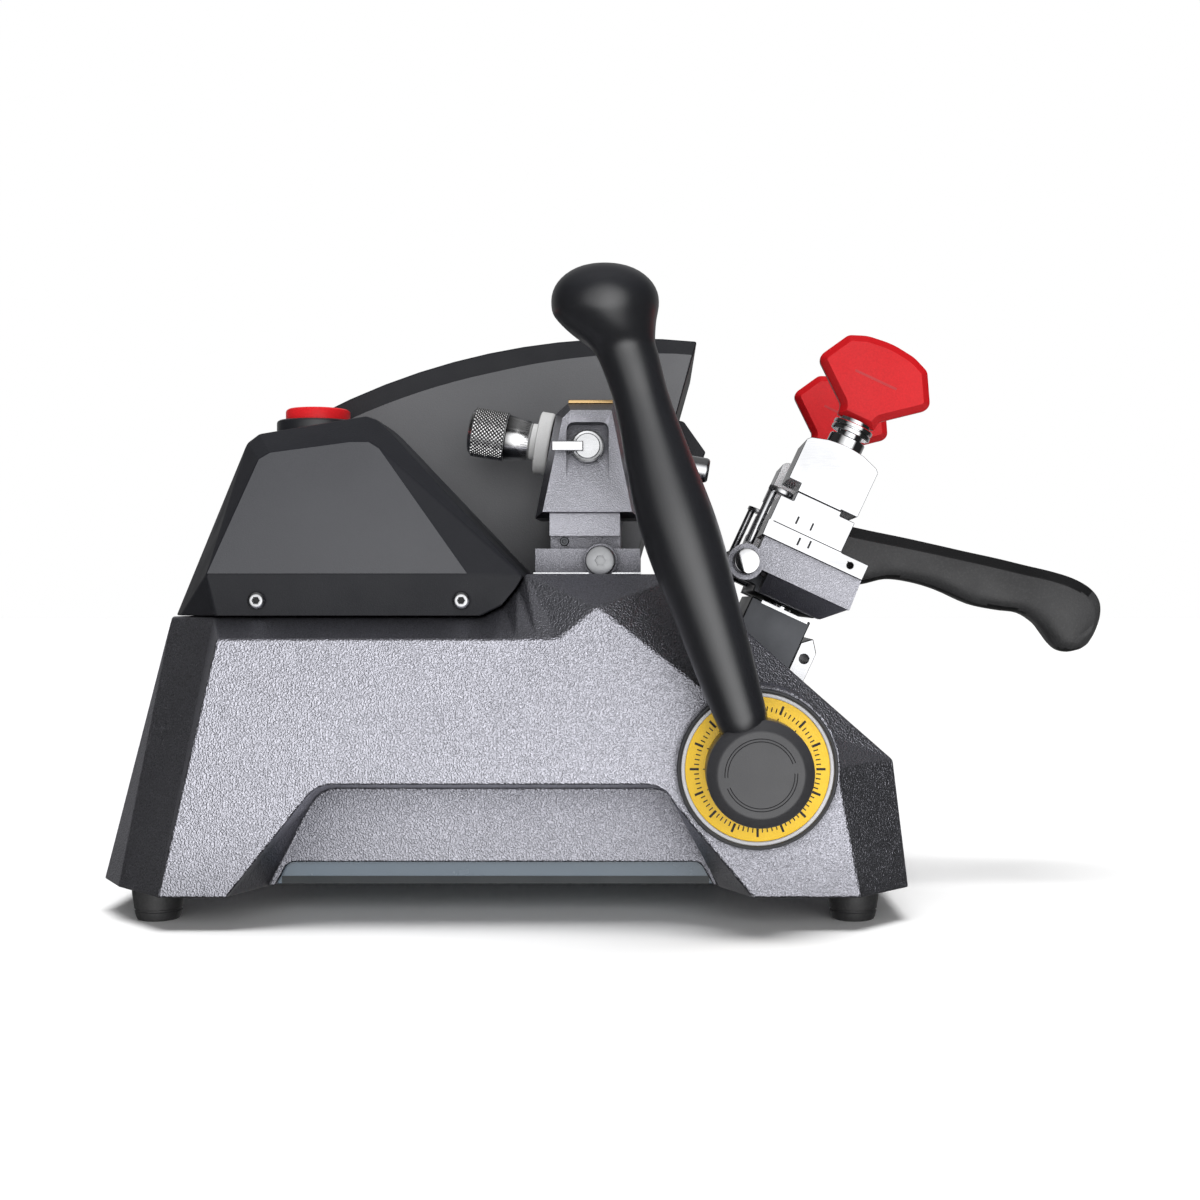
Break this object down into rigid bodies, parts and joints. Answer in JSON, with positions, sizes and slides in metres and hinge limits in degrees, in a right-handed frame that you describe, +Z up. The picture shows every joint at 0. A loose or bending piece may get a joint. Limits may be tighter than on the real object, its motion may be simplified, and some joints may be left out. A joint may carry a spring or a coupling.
{
  "type": "key duplicating machine",
  "caption": "Bench key duplicating machine: tracer and cutter heads over a tilting two-clamp table on a cast base, worked by a side lever.",
  "frame": {"origin": "centre of the bounding box at the bottom of the feet", "axes": "+X towards the operator, -Y the operator's left with the lever, +Z up"},
  "size_m": [0.4922, 0.3409, 0.2904],
  "materials": {
    "light_paint": "textured light grey powder coat",
    "cover_plastic": "satin dark grey",
    "dark_plastic": "satin near black",
    "bright_steel": "ground and polished",
    "chrome_steel": "hard chromed",
    "black_steel": "black oxide",
    "red_plastic": "red, lightly textured",
    "black_rubber": "matte",
    "dial_yellow": "printed yellow",
    "bronze": "satin",
    "blue_grey_sheet": "glossy",
    "alloy": "satin",
    "lens_plastic": "milky"
  },
  "bodies": {
    "root": {"base_casting": "light_paint", "bottom_plate": "blue_grey_sheet", "power_supply": "alloy", "foot_rear_left": "black_rubber", "foot_rear_right": "black_rubber", "foot_front_left": "black_rubber", "foot_front_right": "black_rubber", "rear_cover": "cover_plastic", "motor_hood": "cover_plastic", "cover_screw_rear_left": "bright_steel", "cover_screw_rear_right": "bright_steel", "cover_screw_front_left": "bright_steel", "cover_screw_front_right": "bright_steel", "button_collar": "dark_plastic", "inlet_module": "dark_plastic", "lamp_housing": "dark_plastic", "lamp_lens": "lens_plastic", "tracer_bracket": "black_steel", "pivot_bolt": "bright_steel", "spindle_housing": "black_steel", "front_bearing": "bright_steel", "rear_bearing": "bright_steel", "drive_belt": "black_rubber", "drive_motor": "alloy", "motor_bracket": "alloy", "dial_bezel": "dark_plastic", "scale_dial": "dial_yellow", "shaft_bush_left": "bronze", "shaft_bush_right": "bronze"},
    "swing": {"swing_shaft": "bright_steel", "lever_hub": "dark_plastic", "lever_grip": "dark_plastic", "swing_post": "black_steel", "post_front_plate": "bright_steel"},
    "carriage": {"lift_carriage": "black_steel", "lift_column_left": "chrome_steel", "lift_column_right": "chrome_steel"},
    "table": {"guide_shaft": "chrome_steel", "table_casting": "light_paint", "front_handle": "black_rubber", "clamp_body_left": "bright_steel", "clamp_body_right": "bright_steel", "key_stop_left": "bright_steel", "key_stop_right": "bright_steel"},
    "jaw_left": {"clamp_jaw_left": "bright_steel"},
    "jaw_right": {"clamp_jaw_right": "bright_steel"},
    "wing_left": {"wing_screw_left": "red_plastic"},
    "wing_right": {"wing_screw_right": "red_plastic"},
    "head": {"tracer_head": "light_paint", "head_cap_plate": "bronze", "head_set_screw": "black_steel", "micrometer_barrel": "bright_steel"},
    "thimble": {"micrometer_thimble": "bright_steel"},
    "tracer": {"tracer_spindle": "bright_steel"},
    "lock": {"tracer_lock": "black_steel"},
    "spindle": {"cutter_spindle": "bright_steel", "spindle_pulley": "alloy"},
    "rotor": {"motor_pulley": "alloy"},
    "button": {"stop_button": "red_plastic"},
    "rocker": {"power_rocker": "red_plastic"}
  },
  "joints": [
    {"name": "swing_tilt", "type": "hinge", "parent": "root", "child": "swing", "pos_m": [0.05795, 0.0205, 0.072], "axis": [0, -1, 0], "range_deg": [0, 12]},
    {"name": "table_lift", "type": "slide", "parent": "swing", "child": "carriage", "axis": [0.4226, 0, 0.9063], "range_m": [0, 0.017]},
    {"name": "table_traverse", "type": "slide", "parent": "carriage", "child": "table", "axis": [0, 1, 0], "range_m": [-0.02, 0.02]},
    {"name": "head_tilt", "type": "hinge", "parent": "root", "child": "head", "pos_m": [-0.01255, -0.0545, 0.1646], "axis": [0, 1, 0], "range_deg": [-2, 2]},
    {"name": "thimble_turn", "type": "hinge", "parent": "head", "child": "thimble", "pos_m": [-0.06303, -0.0545, 0.22573], "axis": [0.9863, 0, -0.165], "range_deg": [-720, 720]},
    {"name": "tracer_slide", "type": "slide", "parent": "head", "child": "tracer", "axis": [0.9863, 0, -0.165], "range_m": [-0.001, 0.001]},
    {"name": "tracer_lock_turn", "type": "hinge", "parent": "head", "child": "lock", "pos_m": [-0.01865, -0.0795, 0.2183], "axis": [0, -1, 0], "range_deg": [0, 60]},
    {"name": "spindle_spin", "type": "hinge", "parent": "root", "child": "spindle", "pos_m": [-0.01865, 0.0955, 0.2183], "axis": [0.9863, 0, -0.165], "continuous": true},
    {"name": "motor_spin", "type": "hinge", "parent": "root", "child": "rotor", "pos_m": [-0.10021, 0.0405, 0.18531], "axis": [0.9863, 0, -0.165], "continuous": true},
    {"name": "button_press", "type": "slide", "parent": "root", "child": "button", "axis": [0, 0, -1], "range_m": [0, 0.004], "stiffness_N_per_m": 600, "springref_m": -0.003},
    {"name": "rocker_tip", "type": "hinge", "parent": "root", "child": "rocker", "pos_m": [-0.22968, 0.096, 0.07475], "axis": [0, 1, 0], "range_deg": [0, 20]},
    {"name": "wing_turn_left", "type": "hinge", "parent": "jaw_left", "child": "wing_left", "pos_m": [0.10276, -0.0545, 0.21661], "axis": [0.4226, 0, 0.9063], "range_deg": [0, 720]},
    {"name": "jaw_slide_left", "type": "slide", "parent": "table", "child": "jaw_left", "axis": [0.4226, 0, 0.9063], "range_m": [0, 0.003]},
    {"name": "wing_turn_right", "type": "hinge", "parent": "jaw_right", "child": "wing_right", "pos_m": [0.10276, 0.0955, 0.21661], "axis": [0.4226, 0, 0.9063], "range_deg": [0, 720]},
    {"name": "jaw_slide_right", "type": "slide", "parent": "table", "child": "jaw_right", "axis": [0.4226, 0, 0.9063], "range_m": [0, 0.003]}
  ],
  "couplings": [
    {"joint": "motor_spin", "follows": "spindle_spin", "ratio": 0.65},
    {"joint": "thimble_turn", "follows": "tracer_slide", "rad_per_m": 12560},
    {"joint": "wing_turn_left", "follows": "jaw_slide_left", "rad_per_m": 4185},
    {"joint": "wing_turn_right", "follows": "jaw_slide_right", "rad_per_m": 4185}
  ]
}
